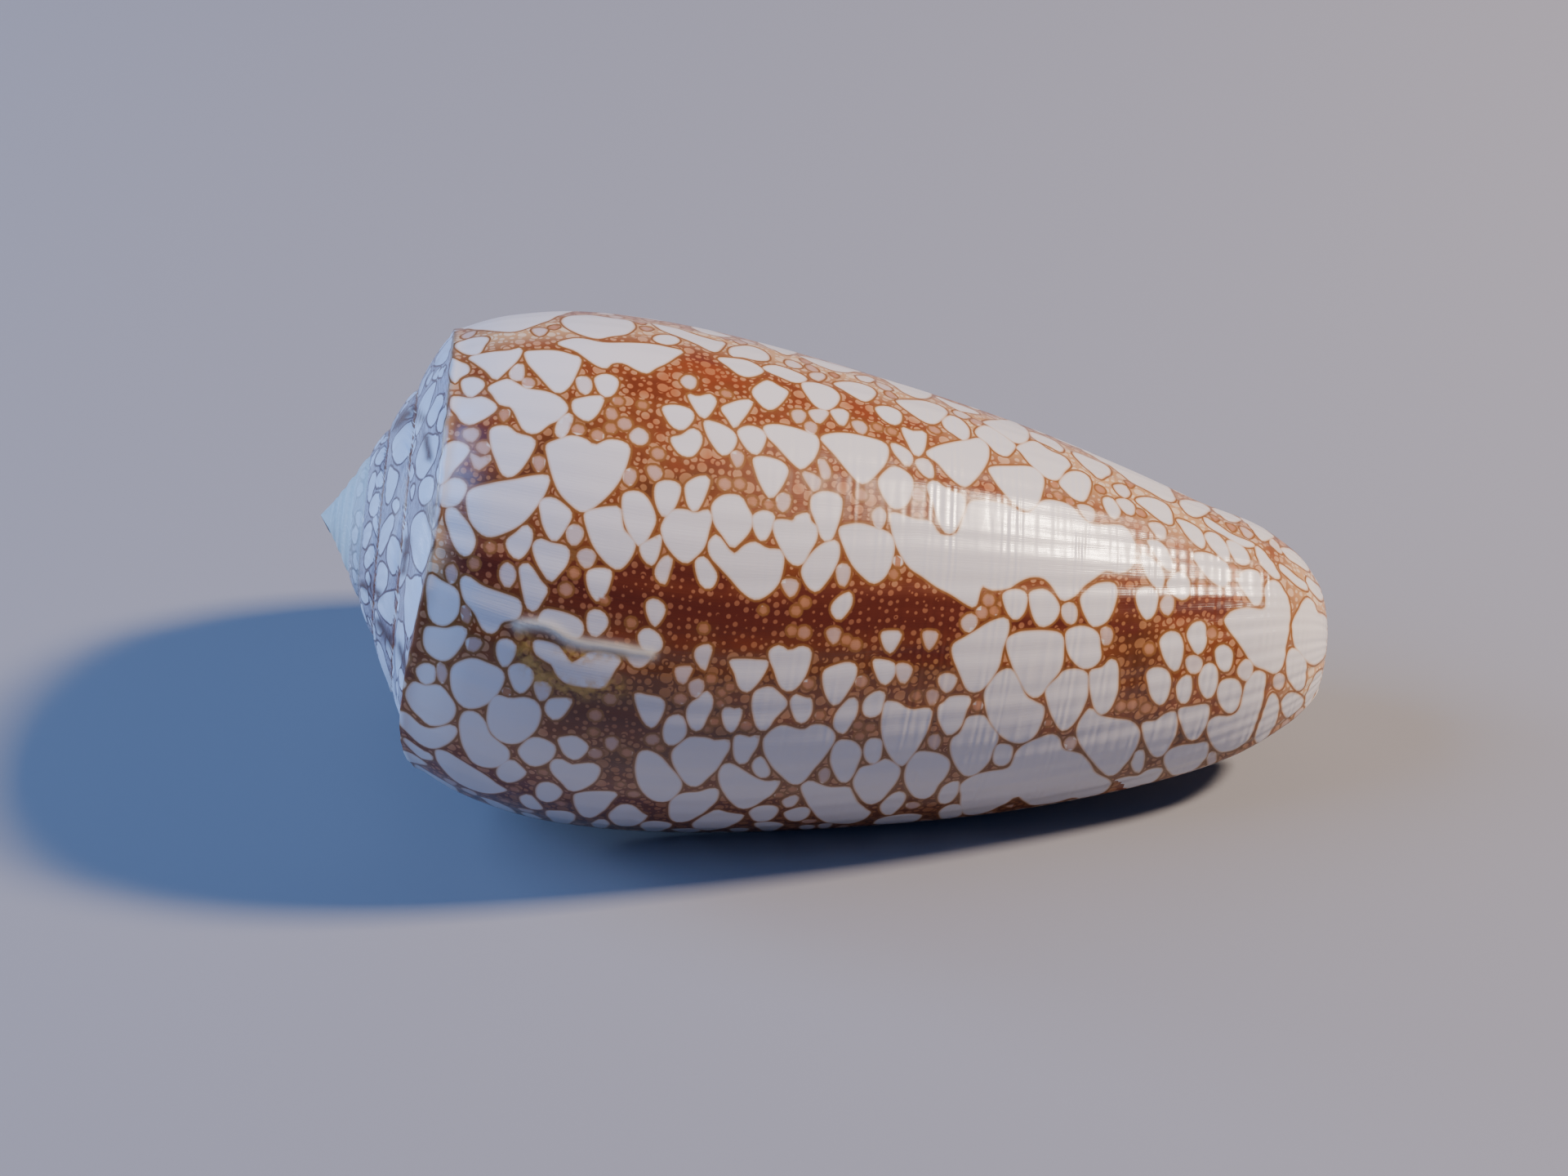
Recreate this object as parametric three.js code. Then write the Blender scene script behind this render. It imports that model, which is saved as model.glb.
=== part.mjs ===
// The empty shell of a cone snail, lying with its aperture down, in millimetres and +Z up.
// The shell is one wall that the snail rolled up as it grew. A growth line runs from the suture, out over
// the spire's ramp to the shoulder, and down the side to the base, and the shell is that line carried round
// its axis while it grows. Columns of the mesh are growth lines, counted back from the lip, which is column
// 0, and rows run along a growth line. The shell's own axis is +X, from the apex at the origin to the base.
import * as THREE from "three";
import { ParametricGeometry } from "three/addons/geometries/ParametricGeometry.js";
import { mergeGeometries, mergeVertices } from "three/addons/utils/BufferGeometryUtils.js";

// Driving dimensions, in millimetres unless the name says otherwise.
const WHORLS = 8;
const GROWTH_PER_TURN = 1.45; // how much wider the shoulder is after each turn
const SPIRE_FALL = 0.88; // below 1, so the spire's outline is a little hollow and the apex pointed
const SHOULDER_RADIUS = 12.8; // at the lip
const SHOULDER_HEIGHT = 6.8; // from the apex, along the axis, at the lip
const RAMP_SWELL = 0.06; // how far a ramp bulges between its sutures, as a share of its width

// The side at the lip, from the shoulder to the base: distance from the apex, then distance from the axis.
const SIDE = [
  [SHOULDER_HEIGHT, SHOULDER_RADIUS],
  [9.6, 14.0],
  [14, 14.8],
  [20, 14.7],
  [28, 13.65],
  [37, 11.9],
  [45, 9.7],
  [50, 7.8],
  [53, 5.8],
  [54.5, 4.2],
  [55, 3.2],
];
const LENGTH = 55;
const BASE_STEP = 0.8; // how much further each turn reaches at the base
const BASE_SPREAD = 0.25; // how much of the side's widening per turn is left at the base
const BASE_SPREAD_FROM = 47; // distance from the apex where it starts to fade
const COLUMELLA_RADIUS = 0.8; // the pillar round which the inner whorls turn

const WALL = 1.3;
const LIP_EDGE = 0.6; // the wall thins to this at the lip
const LIP_TAPER = 0.05; // turns over which it thins
const BASE_WALL = 0.55; // share of the wall's thickness left at the base
const CAVITY_BULGE = 0.35; // how round the cavity's closed end behind the shoulder is
const CAVITY_END_BULGE = 0.3; // how round the cavity's deep end is

// The growth line bends back in the ramp's notch and at the base, in turns, and leads a little on the side.
const RAMP_NOTCH = 0.03;
const SIDE_LEAD = 0.012;
const BASE_NOTCH = 0.09;

// How the shell lies: on the lip's edge and the underside of the body whorl, balanced on its widest part.
const LIP_FROM_DOWN = 45; // degrees from straight down to the lip, towards the front
const AXIS_TILT = 9; // degrees that the axis falls from the apex to the base

// The mesh: columns in a turn and in the aperture's depth, rows on a ramp and on the side.
const TURN = 48;
const DEPTH = 22;
const RAMP_ROWS = 3;
const SIDE_ROWS = 24;
const COVERED_ROWS = 2; // rows of the whorl before that the next one's suture covers
const ROOF_ROWS = SIDE_ROWS - COVERED_ROWS + RAMP_ROWS;
const WELD = 1e-4;

const sideCurve = new THREE.SplineCurve(SIDE.map(([along, out]) => new THREE.Vector2(along, out)));
const { lerp, smoothstep, degToRad } = THREE.MathUtils;

// A point of the shell from its place along the axis, its distance from the axis, and its growth in turns.
function place(along, out, turns) {
  const angle = 2 * Math.PI * turns;
  return new THREE.Vector3(along, -out * Math.sin(angle), out * Math.cos(angle));
}

// The shoulder spiral of one column. One turn later the next whorl's suture lies on it.
function shoulder(column) {
  const turns = column / TURN;
  const growth = GROWTH_PER_TURN ** turns;
  return { along: SHOULDER_HEIGHT * growth ** SPIRE_FALL, out: SHOULDER_RADIUS * growth, turns };
}

const shoulderPoint = (column) => {
  const { along, out, turns } = shoulder(column);
  return place(along, out, turns);
};

// The ramp of the spire, from the suture (row 0) to the shoulder.
function ramp(column, row) {
  if (row === 0) return shoulderPoint(column - TURN);
  if (row === RAMP_ROWS) return shoulderPoint(column);
  const share = row / RAMP_ROWS;
  const suture = shoulder(column - TURN);
  const edge = shoulder(column);
  const swell = RAMP_SWELL * Math.sin(Math.PI * share);
  const width = edge.out - suture.out;
  const fall = edge.along - suture.along;
  return place(
    lerp(suture.along, edge.along, share) - swell * width,
    lerp(suture.out, edge.out, share) + swell * fall,
    edge.turns - RAMP_NOTCH * Math.sin(Math.PI * share),
  );
}

// The pillar keeps the inner whorls from closing on the axis.
function outsidePillar(out) {
  return COLUMELLA_RADIUS * (1 + Math.log1p(Math.exp(out / COLUMELLA_RADIUS - 1)));
}

// The side of a whorl, moved inwards by a depth for the wall's inner face.
function sideAt(column, row, depth) {
  const turns = column / TURN;
  const growth = GROWTH_PER_TURN ** turns;
  const line = sideCurve.getPoint(row / SIDE_ROWS);
  const down = (line.x - SHOULDER_HEIGHT) / (LENGTH - SHOULDER_HEIGHT);
  const fade = smoothstep(line.x, BASE_SPREAD_FROM, LENGTH);
  const spread = SHOULDER_RADIUS * lerp(1, BASE_SPREAD, fade);
  const rise = SHOULDER_HEIGHT * (growth ** SPIRE_FALL - 1);
  const lead = SIDE_LEAD * Math.sin(Math.PI * Math.min(1, 2 * down)) - BASE_NOTCH * down ** 4;
  return place(
    line.x + lerp(rise, BASE_STEP * turns, down),
    outsidePillar(line.y - spread * (1 - growth)) - depth * lerp(1, BASE_WALL, fade),
    turns + lead,
  );
}

function side(column, row) {
  return row === 0 ? shoulderPoint(column) : sideAt(column, row, 0);
}

// The inner face of the outer wall. Its first rows close the cavity behind the shoulder, and start on the
// whorl before.
function roof(column, row) {
  const floor = side(column - TURN, COVERED_ROWS);
  if (row === 0) return floor;
  const wall = lerp(WALL, LIP_EDGE, Math.exp(column / TURN / LIP_TAPER));
  const sideRow = COVERED_ROWS + Math.max(0, row - RAMP_ROWS);
  const inner = sideAt(column, sideRow, wall);
  if (row >= RAMP_ROWS) return inner;
  const share = row / RAMP_ROWS;
  const bulge = CAVITY_BULGE * Math.sin(Math.PI * share) * floor.distanceTo(inner);
  return floor.clone().lerp(inner, share).add(new THREE.Vector3(-bulge, 0, 0));
}

// The deep end of the cavity, from the floor (layer 0) to the roof (layer 2).
function deepEnd(row, layer) {
  const floor = side(-TURN - DEPTH, COVERED_ROWS + Math.max(0, row - RAMP_ROWS));
  const ceiling = roof(-DEPTH, row);
  if (layer === 0) return floor;
  if (layer === 2) return ceiling;
  const middle = floor.clone().lerp(ceiling, 0.5);
  const axis = new THREE.Vector3(1, 0, 0);
  const back = middle.clone().cross(axis).normalize();
  return middle.addScaledVector(back, CAVITY_END_BULGE * floor.distanceTo(ceiling));
}

// The lip's edge: outer runs from the suture over the shoulder to the base, inner along the wall's inside.
function lipOuter(row) {
  return row <= RAMP_ROWS ? ramp(0, row) : side(0, row - RAMP_ROWS);
}

function lipInner(row) {
  return row <= COVERED_ROWS ? side(-TURN, row) : roof(0, row - COVERED_ROWS);
}

const apex = new THREE.Vector3(0, 0, 0);
const pillarTip = new THREE.Vector3(LENGTH - BASE_STEP, 0, 0);

// A grid of points, facing the way that its first direction crossed with its second one points.
function patch(first, second, point) {
  const atShares = (u, v, target) => target.copy(point(Math.round(u * first), Math.round(v * second)));
  return new ParametricGeometry(atShares, first, second);
}

const firstRamp = -(WHORLS - 1) * TURN;
const capCorners = [
  side(-DEPTH, SIDE_ROWS),
  roof(-DEPTH, ROOF_ROWS),
  deepEnd(ROOF_ROWS, 1),
  side(-TURN - DEPTH, SIDE_ROWS),
];

const patches = [
  patch(TURN, 1, (c, r) => (r ? shoulderPoint(firstRamp - TURN + c) : apex)),
  patch(RAMP_ROWS, 1, (c, r) => (r ? ramp(firstRamp, RAMP_ROWS - c) : apex)),
  patch(-firstRamp, RAMP_ROWS, (c, r) => ramp(firstRamp + c, r)),
  patch(TURN, SIDE_ROWS, (c, r) => side(c - TURN, r)),
  patch(DEPTH, SIDE_ROWS - COVERED_ROWS, (c, r) => side(c - TURN - DEPTH, r + COVERED_ROWS)),
  patch(DEPTH, ROOF_ROWS, (c, r) => roof(-c, r)),
  patch(ROOF_ROWS, 2, deepEnd),
  patch(RAMP_ROWS + SIDE_ROWS, 1, (c, r) => (r ? lipOuter(c) : lipInner(c))),
  patch(DEPTH, 1, (c, r) => (r ? roof(c - DEPTH, ROOF_ROWS) : side(c - DEPTH, SIDE_ROWS))),
  patch(TURN, 1, (c, r) => (r ? pillarTip : side(c - TURN - DEPTH, SIDE_ROWS))),
  patch(capCorners.length - 1, 1, (c, r) => (r ? pillarTip : capCorners[c])),
];

// One closed surface from patches that share their edges. The fans' collapsed faces are dropped.
function weld(pieces) {
  const merged = mergeGeometries(pieces);
  merged.deleteAttribute("normal");
  merged.deleteAttribute("uv");
  const welded = mergeVertices(merged, WELD);
  const corners = welded.index.array;
  const kept = [];
  for (let i = 0; i < corners.length; i += 3) {
    const [a, b, c] = corners.slice(i, i + 3);
    if (a !== b && b !== c && c !== a) kept.push(a, b, c);
  }
  welded.setIndex(kept);
  welded.computeVertexNormals();
  return welded;
}

const porcelain = new THREE.MeshStandardMaterial({ color: 0xd9b48f, roughness: 0.25, metalness: 0 });
const shell = new THREE.Mesh(weld(patches), porcelain);
shell.name = "shell";
shell.rotation.x = degToRad(180 - LIP_FROM_DOWN);

// The turned shell is tilted until it balances, and set on the ground round the origin.
const tilted = new THREE.Group();
tilted.rotation.y = degToRad(AXIS_TILT);
tilted.add(shell);

const part = new THREE.Group();
part.add(tilted);
part.updateMatrixWorld(true);
const box = new THREE.Box3().setFromObject(part, true);
const middle = box.getCenter(new THREE.Vector3());
tilted.position.set(-middle.x, -middle.y, -box.min.z);

export default part;
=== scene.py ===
import math

import bmesh
import bpy
import numpy as np
from mathutils import Matrix, Quaternion, Vector
from mathutils.bvhtree import BVHTree
from mathutils.kdtree import KDTree


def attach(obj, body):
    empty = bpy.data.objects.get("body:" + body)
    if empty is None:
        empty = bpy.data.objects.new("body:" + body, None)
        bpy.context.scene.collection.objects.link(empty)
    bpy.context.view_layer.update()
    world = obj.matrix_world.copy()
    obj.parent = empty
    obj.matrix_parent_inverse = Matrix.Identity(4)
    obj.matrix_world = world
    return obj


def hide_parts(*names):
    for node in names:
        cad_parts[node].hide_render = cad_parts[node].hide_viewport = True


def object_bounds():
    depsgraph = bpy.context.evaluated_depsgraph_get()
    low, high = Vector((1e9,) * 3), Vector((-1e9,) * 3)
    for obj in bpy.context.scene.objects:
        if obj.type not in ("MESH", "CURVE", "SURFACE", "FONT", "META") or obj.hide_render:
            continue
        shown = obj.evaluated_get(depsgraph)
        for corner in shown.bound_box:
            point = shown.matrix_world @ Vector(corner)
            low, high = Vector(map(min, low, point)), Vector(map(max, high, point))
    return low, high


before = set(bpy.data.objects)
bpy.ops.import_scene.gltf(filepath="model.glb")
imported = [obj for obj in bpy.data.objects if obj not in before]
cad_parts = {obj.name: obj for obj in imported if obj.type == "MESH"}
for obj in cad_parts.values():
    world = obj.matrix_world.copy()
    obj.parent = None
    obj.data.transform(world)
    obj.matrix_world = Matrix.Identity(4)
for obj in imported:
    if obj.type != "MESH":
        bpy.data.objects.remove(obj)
cad_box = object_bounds()

MM = 0.001

# The camera stands where the photograph was taken from: above the shell and in front of it, with the spire
# to the left. Its picture is 1920 by 1440 pixels.
picture_width = 1920
picture_height = 1440
camera_height = 37.3
camera_turn = 0.9
camera_roll = 0.68
camera_distance = 160.5 * MM
looked_at = Vector((-2.42, 1.06, 9.34)) * MM
lens_pixels = 3600

camera_data = bpy.data.cameras.new("camera")
camera_data.sensor_width = 36
camera_data.lens = lens_pixels * camera_data.sensor_width / picture_width
camera_data.clip_start = 1 * MM
camera = bpy.data.objects.new("camera", camera_data)
bpy.context.scene.collection.objects.link(camera)
bpy.context.scene.camera = camera
view_direction = Vector((
    math.sin(math.radians(camera_turn)) * math.cos(math.radians(camera_height)),
    math.cos(math.radians(camera_turn)) * math.cos(math.radians(camera_height)),
    -math.sin(math.radians(camera_height)),
))
camera_rotation = view_direction.to_track_quat("-Z", "Y") @ Quaternion((0, 0, 1), math.radians(camera_roll))
camera_place = looked_at - camera_distance * view_direction
camera.matrix_world = Matrix.LocRotScale(camera_place, camera_rotation, None)

# The wall of the shell. It is layered lime that the snail rolled up as it grew, one growth line after
# another, from the suture out over the spire's ramp to the shoulder and down the side to the base. Turns are
# counted back from the lip, which is 0, and the shell's own axis runs from the apex, at 0, to the base. The
# lip's rise lifts the shoulder towards the apex: it starts that many turns back, leans towards the lip, and
# fades out down the side.
length = 55 * MM
growth_per_turn = 1.45
spire_fall = 0.88
shoulder_radius = 12.8 * MM
shoulder_height = 6.8 * MM
lip_rise = 0.9 * MM
lip_rise_from = -0.24
lip_rise_lean = 1.6
lip_rise_down = 0.3
ramp_swell = 0.03
base_step = 0.8 * MM
base_spread = 0.25
base_spread_from = 47 * MM
columella_radius = 0.8 * MM
wall = 1.3 * MM
lip_edge = 0.6 * MM
lip_taper = 0.05
base_wall = 0.55
cavity_depth = 22 / 48
cavity_bulge = 0.35
cavity_end_bulge = 0.3
ramp_notch = 0.03
side_lead = 0.012
base_notch = 0.09
lip_from_down = 45
axis_tilt = 9

# The side at the lip: distance from the apex, then distance from the axis.
side_points = np.array([
    (6.8, 12.8), (9.6, 14.0), (14, 14.8), (20, 14.7), (28, 13.65), (37, 11.9),
    (45, 9.7), (50, 7.8), (53, 5.8), (54.5, 4.2), (55, 3.2),
]) * MM


def smooth(before, here, there, after, share):
    """A smooth curve from here (share 0) to there (share 1), led by the points before and after them."""
    leave = (there - before) / 2
    arrive = (after - here) / 2
    cubic = 2 * (here - there) + leave + arrive
    square = 3 * (there - here) - 2 * leave - arrive
    return cubic * share**3 + square * share**2 + leave * share + here


def side_curve(samples):
    """The side's outline, a smooth curve through its points, at even steps of its length."""
    ends = np.vstack([side_points[:1], side_points, side_points[-1:]])
    share = np.linspace(0, len(side_points) - 1, 2 * samples)
    start = np.minimum(share.astype(int), len(side_points) - 2)
    line = smooth(*(ends[start + step] for step in range(4)), (share - start)[:, None])
    travelled = np.concatenate([[0], np.cumsum(np.hypot(*np.diff(line, axis=0).T))])
    even = np.linspace(0, travelled[-1], samples)
    return [np.interp(even, travelled, line[:, axis]) for axis in (0, 1)], travelled[-1]


(outline_along, outline_out), side_length = side_curve(2000)
outline_share = np.linspace(0, 1, len(outline_along))


def place(along, out, turns):
    angle = 2 * np.pi * turns
    return np.stack(np.broadcast_arrays(along, -out * np.sin(angle), out * np.cos(angle)), axis=-1)


def rise_at_lip(turns):
    """How much nearer to the apex the shoulder is, just before the lip, than its spiral."""
    return lip_rise * np.sin(np.pi * np.clip(1 - turns / lip_rise_from, 0, 1) ** lip_rise_lean)


def shoulder(turns):
    growth = growth_per_turn**turns
    return shoulder_height * growth**spire_fall - rise_at_lip(turns), shoulder_radius * growth


def ramp_at(turns, share):
    """A point of the spire's ramp, from the suture (share 0) to the shoulder (share 1)."""
    suture_along, suture_out = shoulder(turns - 1)
    edge_along, edge_out = shoulder(turns)
    swell = ramp_swell * np.sin(np.pi * share)
    along = suture_along + (edge_along - suture_along) * share - swell * (edge_out - suture_out)
    out = suture_out + (edge_out - suture_out) * share + swell * (edge_along - suture_along)
    return place(along, out, turns - ramp_notch * np.sin(np.pi * share))


def side_at(turns, share, depth=0.0):
    """A point of the side, from the shoulder (share 0) to the base (share 1), at a depth in the wall."""
    growth = growth_per_turn**turns
    line_along = np.interp(share, outline_share, outline_along)
    line_out = np.interp(share, outline_share, outline_out)
    down = (line_along - shoulder_height) / (length - shoulder_height)
    fade = np.clip((line_along - base_spread_from) / (length - base_spread_from), 0, 1)
    fade = fade**2 * (3 - 2 * fade)
    spread = shoulder_radius * (1 + (base_spread - 1) * fade)
    rise = shoulder_height * (growth**spire_fall - 1)
    lead = side_lead * np.sin(np.pi * np.minimum(1, 2 * down)) - base_notch * down**4
    along = line_along + rise + (base_step * turns - rise) * down
    along = along - rise_at_lip(turns) * np.clip(1 - down / lip_rise_down, 0, 1) ** 2
    inside = (line_out - spread * (1 - growth)) / columella_radius
    out = columella_radius * (1 + np.log1p(np.exp(inside - 1)))
    return place(along, out - depth * (1 + (base_wall - 1) * fade), turns + lead)


# Columns of the mesh are growth lines, and rows run round the shell. Both lie close together where the
# pattern is fine, and the last turn has more columns on its newer half.
side_rows = 204
covered_rows = 10
ramp_rows = (14, 9, 6, 4, 3, 3, 3)
older_half = (-1, -cavity_depth, 150)
newer_half = (-cavity_depth, 0, 190)
cavity_columns = 24
edge_rows = 4
roof_rows = side_rows - covered_rows + ramp_rows[0]
lip_rows = side_rows + ramp_rows[0]
weld = 0.002 * MM


def roof_at(turns, row):
    """A point of the wall's inner face. Its first rows close the cavity behind the shoulder."""
    below = np.maximum(0, row - ramp_rows[0])
    floor = side_at(turns - 1, covered_rows / side_rows)
    thickness = wall + (lip_edge - wall) * np.exp(turns / lip_taper)
    inner = side_at(turns, (covered_rows + below) / side_rows, thickness)
    share = np.minimum(1, row / ramp_rows[0])[..., None]
    bulge = cavity_bulge * np.sin(np.pi * share) * np.linalg.norm(inner - floor, axis=-1, keepdims=True)
    return floor + (inner - floor) * share - bulge * np.array([1, 0, 0])


def deep_end_at(row, share):
    """A point of the cavity's rounded deep end, from the floor (share 0) to the roof (share 1)."""
    below = np.maximum(0, row - ramp_rows[0])
    floor = side_at(-1 - cavity_depth, (covered_rows + below) / side_rows)
    roof = roof_at(-cavity_depth, row)
    back = np.cross((floor + roof) / 2, [1, 0, 0])
    back = back / np.linalg.norm(back, axis=-1, keepdims=True)
    gap = np.linalg.norm(roof - floor, axis=-1, keepdims=True)
    share = share[..., None]
    return floor + (roof - floor) * share + back * cavity_end_bulge * gap * np.sin(np.pi * share)


def lip_at(row, share):
    """A point of the lip's edge, from the inner face (share 0) to the outer one (share 1)."""
    on_ramp = ramp_at(0, np.minimum(1, row / ramp_rows[0]))
    on_side = side_at(0, np.maximum(0, row - ramp_rows[0]) / side_rows)
    outer = np.where(row[..., None] < ramp_rows[0], on_ramp, on_side)
    on_floor = side_at(-1, np.minimum(covered_rows, row) / side_rows)
    inner = np.where(row[..., None] < covered_rows, on_floor, roof_at(0, np.maximum(0, row - covered_rows)))
    return inner + (outer - inner) * share[..., None]


shell_mesh = bmesh.new()
turns_layer = shell_mesh.verts.layers.float.new("turns")
down_layer = shell_mesh.verts.layers.float.new("down")
face_layer = shell_mesh.verts.layers.int.new("face")
growth_layer = shell_mesh.loops.layers.uv.new("growth")
OUTSIDE, INSIDE, LIP = 0, 1, 2


def patch(columns, rows, face, point, turns=(0, 0), down=(0, 0)):
    """A grid of the wall, facing the way that its columns' direction crossed with its rows' points."""
    verts = bmesh.ops.create_grid(shell_mesh, x_segments=columns, y_segments=rows, size=0.5)["verts"]
    across, along = np.meshgrid(np.linspace(0, 1, columns + 1), np.linspace(0, 1, rows + 1))
    places = point(across, along).reshape(-1, 3)
    vert_turns = turns[0] + (turns[1] - turns[0]) * across.ravel()
    vert_down = down[0] + (down[1] - down[0]) * along.ravel()
    for vert, spot, turn, fall in zip(verts, places, vert_turns, vert_down):
        vert.co = spot
        vert[turns_layer] = turn
        vert[down_layer] = fall
        vert[face_layer] = face
        for loop in vert.link_loops:
            loop[growth_layer].uv = (turn, fall)


def snap(share, count):
    """Moves the points of a finer edge onto those of a coarser one, so that the two can be welded."""
    return np.round(share * count) / count


def whorl_point(start, end, whorl, u, v):
    """A ramp's point. Where a ramp meets the one before, which has fewer rows, its points move onto those."""
    rows_before = ramp_rows[min(whorl + 1, len(ramp_rows) - 1)]
    at_start = (u == 0) & (start == older_half[0])
    return ramp_at(start - whorl + (end - start) * u, np.where(at_start, snap(v, rows_before), v))


for start, end, columns in (older_half, newer_half):
    patch(
        columns, side_rows, OUTSIDE,
        lambda u, v: side_at(start + (end - start) * u, v),
        (start, end), (0, 1),
    )
    for whorl, rows in enumerate(ramp_rows):
        patch(
            columns, rows, OUTSIDE,
            lambda u, v: whorl_point(start, end, whorl, u, v),
            (start - whorl, end - whorl), (-1, 0),
        )
    first = start - len(ramp_rows)
    patch(
        columns, 1, OUTSIDE,
        lambda u, v: v[..., None] * place(*shoulder(first + (end - start) * u), first + (end - start) * u),
        (first, first + end - start), (-1, 0),
    )
patch(ramp_rows[-1], 1, OUTSIDE, lambda u, v: v[..., None] * ramp_at(-len(ramp_rows), 1 - u))
patch(
    cavity_columns, side_rows - covered_rows, INSIDE,
    lambda u, v: side_at(
        cavity_depth * (u - 1) - 1, (covered_rows + (side_rows - covered_rows) * v) / side_rows
    ),
)
patch(cavity_columns, roof_rows, INSIDE, lambda u, v: roof_at(-cavity_depth * u, v * roof_rows))
patch(roof_rows, edge_rows, INSIDE, lambda u, v: deep_end_at(u * roof_rows, v))
patch(lip_rows, edge_rows, LIP, lambda u, v: lip_at(u * lip_rows, v))


def base_edge_at(u, v):
    """A point of the wall's edge at the base, from the outer face (v 0) to the inner one (v 1)."""
    outer = side_at(cavity_depth * (u - 1), 1)
    inner = roof_at(cavity_depth * (snap(u, cavity_columns) - 1), np.full(u.shape, roof_rows))
    return outer + (inner - outer) * v[..., None]


patch(newer_half[2], edge_rows, LIP, base_edge_at)
bmesh.ops.remove_doubles(shell_mesh, verts=shell_mesh.verts, dist=weld)
bmesh.ops.dissolve_degenerate(shell_mesh, edges=shell_mesh.edges, dist=weld)

# What is still open is the base's middle. It closes on the tip of the pillar that the shell turns round.
pillar_tip = Vector((length - base_step, 0, 0))
rim = [edge for edge in shell_mesh.edges if edge.is_boundary]
fan = bmesh.ops.extrude_edge_only(shell_mesh, edges=rim)["geom"]
tip_verts = [item for item in fan if isinstance(item, bmesh.types.BMVert)]
for vert in tip_verts:
    vert[face_layer] = INSIDE
bmesh.ops.pointmerge(shell_mesh, verts=tip_verts, merge_co=pillar_tip)

# The shell lies as the photograph shows it, on its lip and the round underside of its last whorl.
tilt = Matrix.Rotation(math.radians(axis_tilt), 4, "Y")
pose = tilt @ Matrix.Rotation(math.radians(180 - lip_from_down), 4, "X")
bmesh.ops.transform(shell_mesh, matrix=pose, verts=shell_mesh.verts)
bounds = np.array([vert.co for vert in shell_mesh.verts])
posed_middle = Vector((bounds.min(axis=0) + bounds.max(axis=0)) / 2)
resting_place = (cad_box[0] + cad_box[1]) / 2 - posed_middle
bmesh.ops.translate(shell_mesh, vec=resting_place, verts=shell_mesh.verts)
shell_axis = (pose @ Vector((1, 0, 0))).normalized()
shell_mesh.normal_update()
shell_mesh.verts.index_update()

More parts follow.
